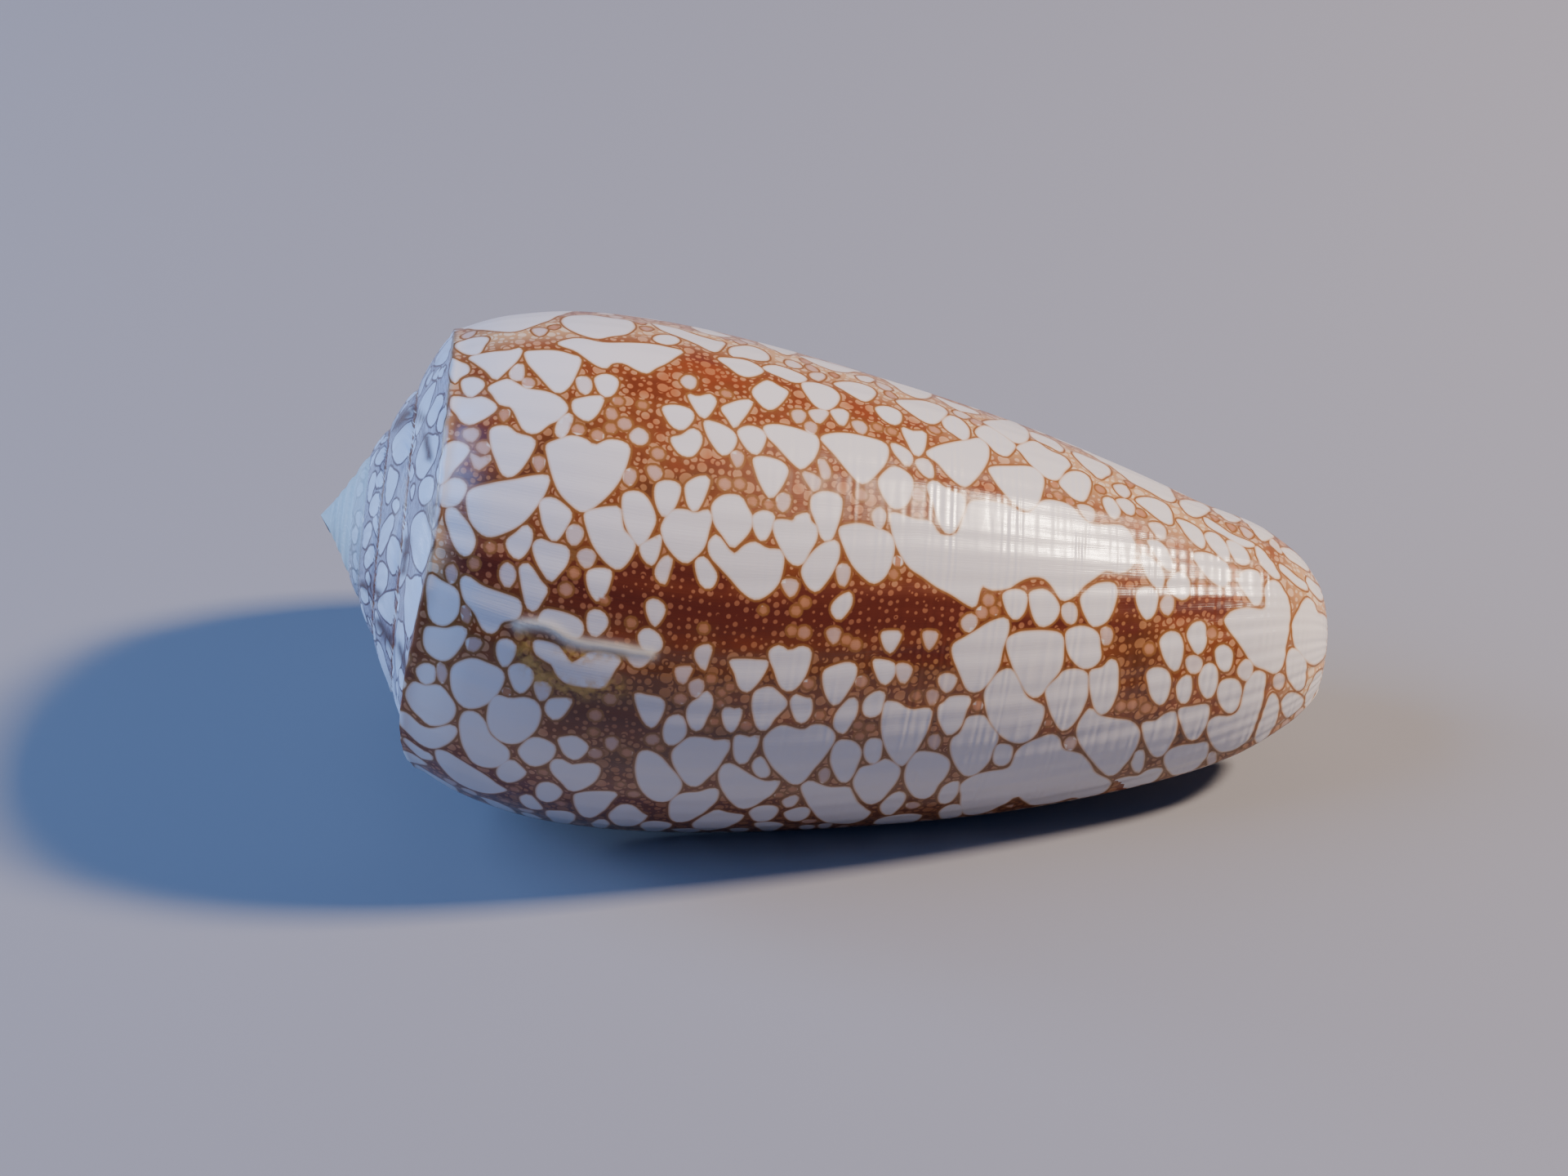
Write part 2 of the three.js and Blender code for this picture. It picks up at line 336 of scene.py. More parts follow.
# The net pattern is white tents on brown, laid down in the lime as the lip moved on. Their points show the
# way that the shell grew. The tents on the side that the photograph shows are drawn in its pixels: a line
# holds one tent, and an indented line goes on with the one before.
tents = """
683,420 705,428 718,437 730,445 742,449 750,443 764,443 778,450 792,455 803,449 818,442 830,434 836,428
    820,424 800,420 770,418 740,418 715,413 700,413
643,430 655,428 680,428 700,433 711,438 706,455 698,470 688,479 678,478 665,464 652,450 645,440
574,436 600,430 622,428 638,425 636,435 625,448 612,460 605,463 595,453 582,443
598,473 620,463 632,468 645,475 665,478 680,483 690,490 695,500 685,512 672,518 660,528 650,530 640,524
    632,508 625,497 612,494 603,482
555,485 575,487 590,485 605,493 607,500 597,508 585,515 575,519 565,515 558,505 552,498
565,465 578,461 590,465 592,472 585,480 575,485 567,478
553,440 562,442 572,446 573,455 563,461 556,468 550,455
558,425 570,432 585,432 593,422 597,412 580,412 562,418
601,525 620,521 632,530 650,535 655,542 648,558 636,575 625,583 615,580 607,562 601,545
669,545 680,539 700,533 718,538 728,545 745,538 762,540 771,548 768,565 760,585 745,605 725,622 712,626
    700,618 685,602 676,580 671,560
702,490 715,486 728,484 739,485 737,495 730,507 720,514 710,510 702,502
729,462 740,457 752,460 757,468 752,480 743,485 735,480 730,470
706,463 715,460 723,464 724,475 717,482 709,476
640,445 641,460 636,465 626,462 624,455 632,445
641,462 652,463 654,470 646,475 640,470
685,512 698,505 701,512 695,528 687,536 680,528
611,504 620,500 624,504 617,515
568,527 580,524 586,530 578,540 568,535
584,543 594,540 600,548 593,555 584,550
576,555 588,560 598,556 600,562 592,570 583,575 578,565
540,560 548,543 560,540 574,548 568,560 555,575 545,590 536,592 534,575
540,595 555,585 568,590 570,600 562,615 550,620 540,618
573,602 600,592 630,587 655,582 672,583 668,601 655,622 640,639 622,650 598,657 582,647 573,630
804,593 818,588 833,594 830,612 820,630 811,631 803,613
841,592 857,583 869,586 862,610 852,626 844,620 840,605
812,498 825,495 840,498 848,503 849,512 840,523 832,525 823,520 815,508
843,482 855,485 870,482 877,490 873,500 865,510 858,509 850,497
822,536 835,532 848,524 858,530 859,542 850,556 840,558 830,552
772,530 782,523 793,530 792,540 783,544 773,538
834,465 842,458 852,462 851,472 843,475
793,572 803,570 811,577 806,587 798,585
765,577 775,573 779,583 772,594 764,588
743,502 750,498 756,508 750,513 744,510
652,562 660,558 667,562 664,573 658,576
661,613 676,609 692,619 700,630 693,646 682,661 674,660 665,643 662,628
694,649 703,642 713,647 713,658 704,668 696,663
716,628 733,622 750,620 760,622 762,640 765,650 777,662 776,675 767,690 756,697 742,688 728,670 720,650
764,605 775,601 787,604 797,617 803,635 798,650 789,665 780,667 770,652 764,635 762,618
812,640 822,625 840,624 852,628 866,624 872,632 868,650 862,670 850,683 840,689 828,682 815,665 810,650
784,667 798,660 809,655 809,668 804,685 797,692 787,682
803,697 813,682 823,683 820,700 814,715 805,709
852,688 862,682 871,692 878,705 873,718 864,720 856,710
720,700 733,696 748,699 747,712 741,728 733,737 724,728 719,713
652,668 661,660 675,665 690,668 697,675 694,690 685,702 674,712 664,700 656,685
707,678 718,672 729,678 726,690 718,696 710,689
620,662 632,652 643,643 651,650 650,665 641,680 632,684 622,674
612,698 620,689 630,697 630,710 621,720 613,710
636,695 645,690 653,698 662,712 670,722 664,735 655,748 645,744 640,725 637,708
547,622 556,622 565,632 575,645 581,662 576,677 566,680 556,668 549,650 545,635
545,698 553,691 559,700 556,712 549,714
563,712 572,706 590,718 615,727 635,735 638,748 632,758 615,762 608,772 600,776 590,770 580,750 568,735
525,705 540,712 558,722 562,738 558,755 545,766 530,762 523,745
564,745 570,742 576,752 572,764 565,758
520,770 530,768 545,770 560,767 571,772 566,788 553,805 540,810 525,802 518,790
570,785 580,781 590,786 583,797 573,797
609,787 620,783 631,790 630,802 622,815 615,817 608,803
553,818 565,810 580,807 597,813 612,820 617,830 612,845 600,860 582,868 566,866 554,850 551,833
622,820 636,813 650,820 653,832 645,845 637,850 628,843
535,815 541,813 547,825 541,838 535,830
654,838 662,835 674,840 672,852 663,860 656,852
720,752 731,747 742,754 744,765 737,775 728,780 720,772
793,737 803,734 814,743 812,755 803,767 797,762 792,748
782,778 792,770 805,776 811,787 808,797 795,800 785,792
766,800 783,800 797,803 793,812 784,818 774,815
853,795 864,790 872,793 868,810 863,822 856,815 851,805
827,820 836,817 848,818 843,830 838,838 830,834
844,838 855,832 862,836 860,848 852,855 846,850
922,478 932,468 942,465 955,472 965,478 960,488 950,498 940,500 930,492
884,499 895,493 910,489 922,490 916,503 907,515 900,523 892,512
863,515 875,516 890,522 900,530 902,540 895,552 885,556 875,545 866,530
904,527 915,521 928,523 938,531 935,545 927,555 917,550 908,538
896,554 904,551 911,557 908,568 903,572 898,564
936,522 950,519 968,522 985,527 1000,533 1003,545 997,560 985,572 978,572 966,560 952,545 940,533
923,562 932,558 945,560 958,565 965,575 960,590 950,605 943,609 935,598 927,580
1006,535 1020,530 1040,530 1060,534 1080,540 1088,548 1086,563 1075,578 1062,590 1052,590 1040,577
    1027,560 1013,545
982,470 993,467 1005,469 1018,474 1028,483 1025,493 1015,500 1005,499 993,488
991,503 1003,500 1015,503 1010,512 1003,517 996,512
1018,502 1030,499 1039,504 1037,515 1031,520 1022,511
1073,498 1085,496 1098,500 1104,506 1103,515 1096,519 1086,515 1078,507
1044,516 1055,515 1062,522 1058,530 1050,527
986,519 993,515 1001,521 996,531 989,528
970,504 980,501 987,506 983,515 975,516
1136,552 1150,545 1165,541 1185,538 1200,535 1210,545 1211,558 1205,572 1195,585 1183,595 1172,590
    1160,578 1148,565 1138,558
1105,523 1118,527 1133,528 1134,540 1130,553 1122,557 1113,543
1092,542 1103,545 1115,553 1118,563 1112,570 1103,562 1095,552
1122,563 1135,561 1143,572 1143,583 1135,583 1126,573
1155,513 1165,508 1177,513 1186,522 1187,533 1180,538 1168,530 1158,522
1098,490 1115,488 1135,490 1155,497 1160,505 1150,515 1140,517 1128,512 1113,502
1022,468 1040,466 1060,470 1072,477 1070,485 1060,490 1048,485 1034,477
880,437 895,437 915,440 930,447 935,453 928,458 915,460 903,456 890,446
935,448 950,446 970,452 987,460 985,466 972,467 955,460 942,454
895,425 915,422 935,428 942,438 930,440 910,436 896,434
800,395 825,400 850,408 875,415 888,418 880,428 870,428 855,420 830,410 810,402
1076,590 1083,578 1095,570 1108,575 1117,585 1118,600 1112,615 1102,622 1092,620 1083,608
1136,595 1145,588 1155,595 1168,602 1180,605 1182,620 1175,640 1167,652 1157,650 1150,638 1143,615
983,578 995,580 1005,587 1003,597 998,601 990,592
1003,562 1010,562 1017,575 1015,585 1008,585 1004,573
872,620 882,608 895,605 908,608 915,620 922,635 918,650 905,665 896,670 885,655 875,640
922,632 935,625 948,630 946,645 938,660 930,660 923,645
948,638 960,636 972,638 975,632 990,628 993,638 1001,645 1000,660 992,675 985,688 975,692 965,685
    955,668 948,650
995,608 1005,602 1018,602 1030,608 1031,622 1025,645 1018,660 1008,660 1000,640 994,622
952,608 960,603 968,608 966,620 958,626 952,618
1028,648 1040,642 1055,641 1070,645 1085,650 1094,658 1095,675 1090,695 1082,708 1070,714 1058,706
    1045,692 1035,672
982,700 990,683 1002,670 1015,663 1026,663 1028,680 1020,700 1010,715 1000,724 990,718
1069,628 1077,620 1085,628 1082,643 1075,648 1070,638
1025,696 1033,690 1041,695 1040,708 1034,718 1027,712
868,665 877,655 885,662 892,672 900,678 912,668 925,664 940,672 955,673 960,682 958,700 953,715 940,728
    925,734 910,725 895,708 880,692 870,680
958,712 968,709 978,713 975,725 968,731 961,722
1020,740 1030,730 1042,726 1043,740 1035,753 1027,759 1019,750
1013,773 1022,769 1030,773 1027,784 1021,789 1015,782
943,797 955,791 965,797 972,796 982,792 993,797 992,812 985,830 975,843 965,847 955,840 948,820 943,808
894,810 910,808 928,809 941,811 936,825 925,840 915,848 905,842 900,825
1010,822 1025,815 1040,812 1049,817 1047,832 1038,848 1028,862 1020,864 1012,852 1008,835
1070,810 1083,809 1095,813 1097,822 1092,833 1083,839 1075,830
1098,815 1108,813 1117,818 1114,830 1106,838 1099,828
1080,776 1092,773 1104,775 1100,788 1091,800 1083,792
1131,775 1140,773 1149,776 1145,788 1138,796 1133,788
1178,760 1188,752 1197,756 1196,765 1188,774 1180,770
1150,830 1160,825 1172,830 1168,842 1160,849 1152,842
1135,850 1143,845 1150,850 1147,860 1140,865
1195,528 1206,520 1222,527 1238,538 1244,545 1234,557 1220,552 1210,542
1205,515 1220,513 1240,515 1258,525 1258,538 1245,541 1230,532 1215,523
1246,546 1258,540 1270,540 1286,550 1304,558 1311,568 1304,576 1298,585 1288,586 1274,578 1260,564
    1250,552
1212,572 1240,570 1265,571 1278,583 1277,600 1270,618 1258,624 1244,617 1232,605 1220,588
1298,590 1308,578 1320,576 1332,581 1336,590 1334,602 1328,612 1318,610 1308,602
1320,618 1332,618 1340,624 1340,636 1334,638 1326,628
1352,610 1362,609 1372,622 1370,632 1364,634 1356,626
1368,611 1380,610 1390,619 1388,629 1380,628 1372,618
1392,612 1402,608 1416,610 1430,618 1436,630 1435,641 1424,638 1410,626
1408,640 1420,640 1428,648 1426,660 1418,656 1410,646
1442,635 1456,638 1468,646 1476,660 1474,670 1466,666 1454,654
1476,654 1486,651 1498,660 1506,674 1504,686 1496,682 1482,666
1406,661 1418,661 1428,670 1436,686 1435,698 1428,696 1418,682 1410,670
1397,680 1406,679 1416,688 1426,702 1424,720 1416,718 1406,706 1400,692
1432,710 1444,700 1456,708 1458,724 1450,734 1438,728 1431,718
1462,678 1476,676 1492,682 1504,690 1505,704 1502,718 1488,713 1474,700 1466,688
1503,662 1515,663 1528,675 1530,688 1520,690 1510,680
1365,593 1378,593 1384,603 1378,608 1368,601
1262,527 1285,535 1300,545 1300,552 1285,545 1268,537
1090,630 1100,628 1120,635 1140,638 1148,650 1155,655 1168,655 1175,648 1182,630 1190,613 1215,613
    1235,618 1258,628 1275,614 1290,612 1310,618 1325,632 1340,642 1360,642 1375,643 1385,652 1391,668
    1390,685 1383,697 1370,701 1355,698 1340,708 1328,717 1318,728 1305,735 1298,732 1290,718 1278,707
    1262,706 1248,712 1235,720 1215,722 1205,717 1200,725 1195,742 1185,740 1165,727 1148,718 1130,705
    1115,695 1103,678 1095,658
1229,728 1240,722 1252,723 1258,730 1256,746 1248,757 1240,757 1232,744
1261,728 1272,722 1283,723 1293,733 1298,745 1293,758 1283,766 1273,766 1265,752
1302,742 1312,738 1319,745 1318,760 1310,764 1302,755
1324,732 1332,723 1344,715 1360,713 1368,718 1367,734 1362,750 1354,762 1340,767 1332,758 1326,744
1392,730 1398,720 1410,719 1418,726 1417,742 1412,754 1404,758 1396,746
1422,738 1429,729 1437,732 1437,744 1431,753 1424,748
1168,790 1182,781 1197,772 1213,762 1232,757 1236,770 1229,793 1223,817 1210,838 1197,848 1185,845
    1177,828 1168,805
1233,786 1245,776 1262,773 1285,773 1301,778 1303,798 1299,820 1287,836 1277,850 1267,855 1256,847
    1247,830 1239,812
1306,776 1318,768 1332,768 1345,776 1348,792 1348,806 1340,816 1328,819 1318,813 1309,800
1349,772 1358,768 1363,776 1360,788 1352,789
1336,822 1350,818 1360,808 1368,812 1370,830 1368,850 1360,868 1350,876 1342,870 1337,854 1335,838
1282,844 1296,830 1304,822 1320,820 1332,826 1333,844 1330,860 1320,880 1310,892 1300,895 1290,880
    1283,860
1206,852 1213,836 1225,823 1239,820 1249,835 1257,853 1268,860 1279,867 1276,885 1267,902 1253,911
    1238,909 1222,898 1211,880
1185,880 1195,877 1206,878 1213,888 1222,899 1222,908 1217,920 1212,932 1203,943 1193,950 1182,951
    1173,942 1166,928 1164,915 1167,905 1175,899 1180,890
1217,925 1221,914 1230,912 1240,916 1239,928 1233,937 1224,939 1217,934
1176,964 1190,952 1210,946 1230,943 1238,938 1244,924 1254,914 1270,906 1288,900 1298,906 1302,918
    1316,922 1326,926 1336,938 1342,948 1358,956 1360,964 1352,974 1336,982 1326,982 1318,978 1310,979
    1298,986 1280,989 1262,987 1252,980 1248,977 1242,978 1230,986 1214,994 1194,999 1180,998 1176,988
    1177,976
1304,910 1312,903 1319,908 1314,919 1307,919
1319,895 1325,880 1336,868 1347,877 1365,881 1385,884 1396,897 1391,918 1380,935 1368,948 1357,951
    1345,941 1332,925 1322,910
1401,886 1416,884 1426,876 1438,872 1442,880 1440,900 1432,916 1422,928 1412,926 1404,912 1400,898
1444,870 1460,866 1480,864 1480,880 1474,896 1466,906 1456,906 1448,890
1406,824 1416,818 1430,822 1434,836 1430,854 1422,864 1412,856 1407,840
1422,784 1432,774 1444,776 1449,788 1448,806 1442,822 1432,816 1424,800
1455,776 1462,764 1474,762 1478,776 1476,792 1468,801 1460,792
1454,806 1464,803 1473,810 1470,822 1460,825 1454,816
1470,826 1478,814 1488,815 1492,830 1488,848 1480,856 1472,848 1469,836
1442,840 1449,830 1458,828 1460,842 1456,858 1449,862 1443,855
1489,798 1498,790 1508,796 1510,808 1504,822 1494,818
1492,844 1498,834 1512,832 1520,840 1520,856 1512,872 1502,872 1493,858
1517,818 1526,808 1534,812 1534,825 1527,834 1518,828
1426,930 1432,920 1446,914 1464,912 1478,910 1480,920 1474,934 1460,946 1446,955 1436,950 1428,940
1480,886 1490,878 1506,878 1516,872 1522,858 1525,842 1532,828 1541,822 1550,826 1550,838 1548,852
    1545,866 1540,882 1534,898 1526,910 1512,920 1496,922 1486,914 1480,900
1388,930 1392,922 1400,920 1402,928 1400,940 1394,948 1388,943 1386,936
1362,960 1370,955 1382,952 1394,951 1404,945 1414,942 1423,942 1422,950 1414,960 1404,970 1392,977
    1378,980 1368,974
1511,748 1528,744 1548,746 1551,736 1550,724 1554,712 1564,711 1572,720 1579,736 1581,752 1579,772
    1576,788 1574,806 1570,818 1562,825 1550,820 1536,814 1528,802 1520,790 1510,776 1501,762 1504,754
1519,702 1528,697 1540,699 1545,708 1546,722 1545,736 1538,741 1530,732 1522,720 1517,710
1597,736 1604,732 1611,740 1615,750 1622,753 1630,760 1633,772 1630,786 1625,798 1620,808 1612,814
    1603,811 1595,803 1587,790 1584,775 1585,760 1590,750
1577,805 1582,795 1590,796 1598,804 1601,815 1600,830 1597,843 1590,846 1583,838 1577,825
1561,830 1568,825 1574,830 1573,840 1567,845 1561,840
1571,860 1578,850 1588,850 1597,857 1594,866 1586,874 1578,880 1572,872
1556,852 1562,851 1567,862 1566,875 1562,888 1555,900 1548,908 1541,911 1538,905 1540,895 1546,880
    1551,865
1538,668 1546,672 1556,684 1564,696 1568,707 1560,706 1550,696 1542,684
1568,690 1578,696 1590,706 1600,714 1602,722 1592,718 1580,708 1570,698
1602,706 1610,712 1618,720 1626,730 1628,738 1618,734 1608,724 1602,714
1570,670 1584,670 1598,678 1606,688 1610,700 1602,698 1590,690 1578,682
1476,632 1490,640 1505,650 1520,658 1534,664 1536,668 1524,668 1508,660 1492,650 1478,640
1480,925 1488,922 1490,932 1485,942 1479,940
861,849 868,848 873,857 872,868 866,880 860,892 853,896 846,892 841,880 842,868 848,860 855,856
885,872 891,866 897,870 904,868 909,871 906,884 901,893 896,898 889,893 885,882
924,849 934,843 945,842 953,848 963,858 963,866 956,874 948,882 942,891 935,896 927,891 923,878 921,863
970,855 976,851 984,855 993,856 995,868 992,878 984,886 976,884 971,874 968,862
1041,856 1049,857 1051,866 1048,878 1041,890 1034,899 1026,897 1021,889 1023,877 1031,866
1061,856 1070,849 1078,847 1084,851 1082,863 1078,874 1068,879 1059,876 1057,866
1084,862 1092,860 1101,862 1110,868 1120,870 1132,868 1141,870 1140,882 1135,897 1127,912 1118,926
    1109,937 1101,939 1092,930 1084,915 1080,898 1080,880
812,895 817,882 826,877 835,878 840,888 840,900 833,909 822,914 814,909
824,920 835,910 845,904 857,904 867,905 875,908 886,907 893,908 893,918 886,930 877,944 866,955 856,963
    846,964 836,957 828,944 823,932
900,903 908,901 918,904 927,901 930,903 927,915 920,926 915,934 907,937 900,930 898,916
921,938 926,930 933,928 939,936 943,946 940,953 931,954 924,948
935,908 940,900 948,893 958,889 968,891 978,894 986,894 994,889 1004,888 1014,891 1022,899 1022,908
    1015,920 1006,932 997,943 988,954 979,961 970,961 961,955 950,945 942,934 936,922
1020,917 1027,908 1036,907 1046,909 1053,916 1055,924 1051,937 1045,950 1037,959 1029,958 1021,946
    1017,932
1060,912 1065,906 1073,905 1080,908 1080,920 1077,932 1069,938 1061,932 1058,922
1047,952 1054,942 1065,939 1076,935 1084,931 1092,934 1102,941 1101,952 1094,964 1085,975 1075,984
    1065,987 1056,981 1048,970 1045,960
1120,925 1128,921 1140,922 1152,925 1162,932 1163,941 1158,952 1150,962 1143,973 1133,980 1122,978
    1113,969 1108,955 1110,940
1150,866 1157,861 1163,855 1175,853 1187,854 1189,860 1184,870 1181,880 1177,890 1168,899 1160,901
    1153,890 1149,878
1140,902 1148,900 1152,906 1150,914 1144,919 1138,914 1137,907
882,943 887,937 895,936 905,941 915,948 925,954 938,958 950,957 955,958 952,965 945,974 935,981 925,988
    912,992 901,989 890,977 882,963 880,952
820,985 828,976 840,972 855,971 868,967 878,967 880,974 876,984 866,993 855,1001 842,1007 828,1008
    820,1002
848,1010 858,1003 868,997 878,993 890,996 902,998 911,1000 905,1007 893,1013 878,1018 862,1019 851,1016
822,1018 835,1016 850,1016 858,1019 850,1023 830,1024
918,995 926,990 938,988 950,989 953,994 948,1002 938,1007 926,1007 919,1001
924,1010 935,1008 948,1008 959,1011 952,1017 940,1019 930,1017
960,998 968,993 978,990 988,990 992,995 988,1002 978,1007 967,1006
981,966 985,960 993,957 1003,961 1015,965 1028,965 1040,965 1044,972 1050,983 1060,992 1066,996
    1060,1003 1050,1009 1035,1011 1018,1010 1004,1004 994,993 986,980
958,983 966,977 975,975 978,980 972,988 963,990
1003,950 1008,943 1015,943 1016,950 1012,958 1006,960
1078,990 1084,981 1093,974 1103,971 1109,975 1107,984 1100,992 1091,999 1082,998
1070,1010 1080,1003 1093,1000 1108,998 1122,998 1129,1001 1120,1007 1105,1012 1088,1014 1075,1014
978,1015 988,1012 998,1014 994,1019 984,1019
1002,1013 1010,1010 1019,1011 1014,1015 1006,1016
1149,978 1153,968 1160,962 1169,958 1175,960 1173,972 1168,980 1160,985 1152,985
1150,996 1160,988 1172,986 1180,990 1176,1000 1163,1006 1152,1006
1222,999 1232,990 1245,987 1258,990 1256,998 1245,1003 1232,1004
1300,988 1308,982 1318,983 1318,990 1310,994 1302,993
509,820 520,813 532,818 531,834 520,839 512,832
497,850 505,836 520,840 537,840 548,851 557,866 554,880 542,889 525,889 514,880 502,868
490,870 500,876 513,888 526,893 541,891 553,889 559,896 554,906 541,915 526,918 511,911 500,900 490,886
494,904 505,912 520,922 528,925 528,932 515,930 503,920 496,910
562,885 568,873 582,873 593,884 600,900 612,911 622,920 622,932 610,940 594,941 579,935 569,920 563,903
596,876 600,858 609,852 625,856 642,855 656,860 662,872 659,888 650,901 634,911 617,911 604,902 597,890
532,921 545,921 560,930 577,941 595,952 609,962 620,969 606,973 586,971 566,963 549,951 537,937
608,944 616,934 628,932 638,940 644,948 632,958 620,960 610,954
634,920 644,908 656,904 670,908 680,916 676,930 664,938 650,939 638,930
667,870 672,858 688,856 700,858 696,868 686,880 676,882
683,906 692,903 706,903 720,914 716,924 704,932 692,926 686,916
673,940 678,932 690,932 698,938 710,937 726,936 735,944 728,958 712,968 698,970 688,960 678,950
656,968 662,960 676,960 688,970 682,980 668,984 658,978
702,978 710,972 730,970 755,972 748,984 734,998 720,1003 708,996
636,978 648,974 658,984 664,992 650,992 640,986
668,996 680,994 698,996 704,1002 696,1010 680,1008
746,998 758,988 774,988 788,998 792,1002 778,1012 760,1013 748,1006
724,1010 736,1004 746,1010 740,1016 728,1016
588,978 602,981 618,988 632,997 622,998 605,990
778,850 792,852 810,856 814,866 808,882 798,892 788,884 780,866
778,940 782,924 793,920 808,927 820,940 830,952 835,962 829,974 816,983 801,982 788,972 780,957
742,906 752,904 757,910 750,920 743,916
784,1012 795,1007 815,1008 822,1012 810,1019 793,1020
658,765 665,748 680,748 700,754 712,762 714,774 706,782 690,776 675,768
655,785 680,790 690,800 700,812 712,806 722,800 745,800 760,808 752,822 745,835 738,843 715,842 695,838
    682,828 676,815 668,810 655,800
503,640 510,630 518,628 522,640 528,655 530,665 524,680 518,695 514,700 507,690 502,672 501,655
461,738 470,728 480,725 492,722 494,730 490,745 484,758 478,764 470,758 463,748
511,598 516,588 524,584 530,588 529,600 524,612 517,617 512,608
480,540 488,528 498,518 508,512 516,510 514,520 508,535 502,548 495,560 487,567 481,560
491,575 497,568 503,570 505,580 500,588 493,588
"""
# The smallest ones are round: the middle in pixels, then the radius.
drops = """
806,555,8 732,532,8 748,523,7 708,525,8 765,518,9 787,495,6 757,490,7 600,670,6 580,690,7 773,763,6
862,770,6 833,857,8 693,722,8 703,702,6 740,735,5 888,592,8 906,592,7 922,613,6 942,617,6 1055,605,8
1125,605,9 890,481,7 1145,525,8 1075,522,6 1093,527,6 1055,835,8 970,773,6 985,775,8 1037,784,6 1048,790,7
935,747,5 975,748,6 986,738,6 990,838,7 1100,687,7 1095,703,6 1123,853,6 1398,627,7 1397,665,6 1348,598,7
1292,592,6 1297,606,6 1311,613,6 1211,735,8 1203,750,8 1218,748,6 1198,865,7 1284,886,5 1373,866,7 1387,864,7
1404,868,7 1485,775,7 1408,795,7 727,898,6 729,877,8 729,924,9 747,857,8 768,923,7 799,907,9 808,917,5
665,947,6 630,968,6 618,982,7 776,974,8 760,962,5 620,848,6 1004,877,6 1051,889,6 1066,892,6 1053,903,6
914,890,7 867,894,4 875,885,5 882,863,5 894,842,5 871,832,6 884,849,5 954,975,6 971,968,6 1473,716,7
1511,695,6 1514,706,6
"""
places = np.array([vert.co for vert in shell_mesh.verts])
normals = np.array([vert.normal for vert in shell_mesh.verts])
vert_turns = np.array([vert[turns_layer] for vert in shell_mesh.verts])
vert_down = np.array([vert[down_layer] for vert in shell_mesh.verts])
vert_face = np.array([vert[face_layer] for vert in shell_mesh.verts])
outside = vert_face == OUTSIDE
to_camera = np.array(camera_place) - places
facing = (normals * to_camera).sum(axis=1) / np.linalg.norm(to_camera, axis=1)
surface = BVHTree.FromBMesh(shell_mesh)


def seen_at(x, y):
    """The point of the shell that a pixel of the picture shows, or None beside the shell."""
    ray = camera_rotation @ Vector((x - picture_width / 2, picture_height / 2 - y, -lens_pixels))
    return surface.ray_cast(camera_place, ray.normalized())[0]


def cast(outline):
    """An outline of pixels laid on the shell. A point beside the shell is drawn in until it meets it."""
    middle = outline.mean(axis=0)
    spots = []
    for point in outline:
        pulled = (seen_at(*(point + (middle - point) * pull)) for pull in np.linspace(0, 1, 21))
        spot = next((found for found in pulled if found), None)
        if spot:
            spots.append(spot)
    return np.array(spots)


def pixels(text):
    return np.array([[float(value) for value in pair.split(",")] for pair in text])


def rounded(outline, steps=4):
    """A closed smooth curve through an outline's points."""
    neighbours = (np.roll(outline, shift, axis=0) for shift in (1, 0, -1, -2))
    line = smooth(*neighbours, (np.arange(steps) / steps)[:, None, None])
    return line.transpose(1, 0, 2).reshape(-1, outline.shape[1])


def distance_to(points, line):
    """How far points lie from a line of straight stretches."""
    start, edge = line[:-1], np.diff(line, axis=0)
    offset = points[:, None] - start
    share = np.clip((offset * edge).sum(axis=2) / (edge**2).sum(axis=1), 0, 1)
    return np.linalg.norm(offset - share[..., None] * edge, axis=2).min(axis=1)


def depth_inside(points, outline):
    """How far points lie inside an outline, below 0 outside it."""
    distance = distance_to(points, np.vstack([outline, outline[:1]]))
    ends = np.roll(outline, -1, axis=0)
    edge = ends - outline
    offset = points[:, None] - outline
    above = outline[:, 1] > points[:, None, 1]
    straddles = above != (ends[:, 1] > points[:, None, 1])
    rise = np.where(edge[:, 1] == 0, 1, edge[:, 1])
    crosses = straddles & (offset[..., 0] < edge[:, 0] * offset[..., 1] / rise)
    return np.where(crosses.sum(axis=1) % 2 == 1, distance, -distance)


# Each point of the mesh holds how deep it lies in the tents. Tents that nearly touch are kept in layers of
# their own, so that the thin line between them stays sharp. A tent stays on its own whorl, and on points
# that face its way.
layers = 8
close_by = 0.3 * MM
halo = 1 * MM
farthest = 3 * MM
half_turn = 0.5
faces_its_way = 0.1
tent_layers = np.full((layers, len(places)), -halo)
room = np.full(len(places), -farthest)
tent_size = np.zeros(len(places))


def local_axes(middle, normal):
    """The directions in the surface: across the growth, towards the base, and ahead with the growth."""
    ahead = np.cross(shell_axis, middle - np.array(resting_place))
    ahead = ahead - normal * (ahead @ normal)
    ahead = ahead / np.linalg.norm(ahead)
    return np.cross(ahead, normal), ahead


def outline_size(flat):
    """The radius of a circle with an outline's area."""
    x, y = flat.T
    return math.sqrt(abs((x * np.roll(y, -1) - y * np.roll(x, -1)).sum()) / 2 / math.pi)


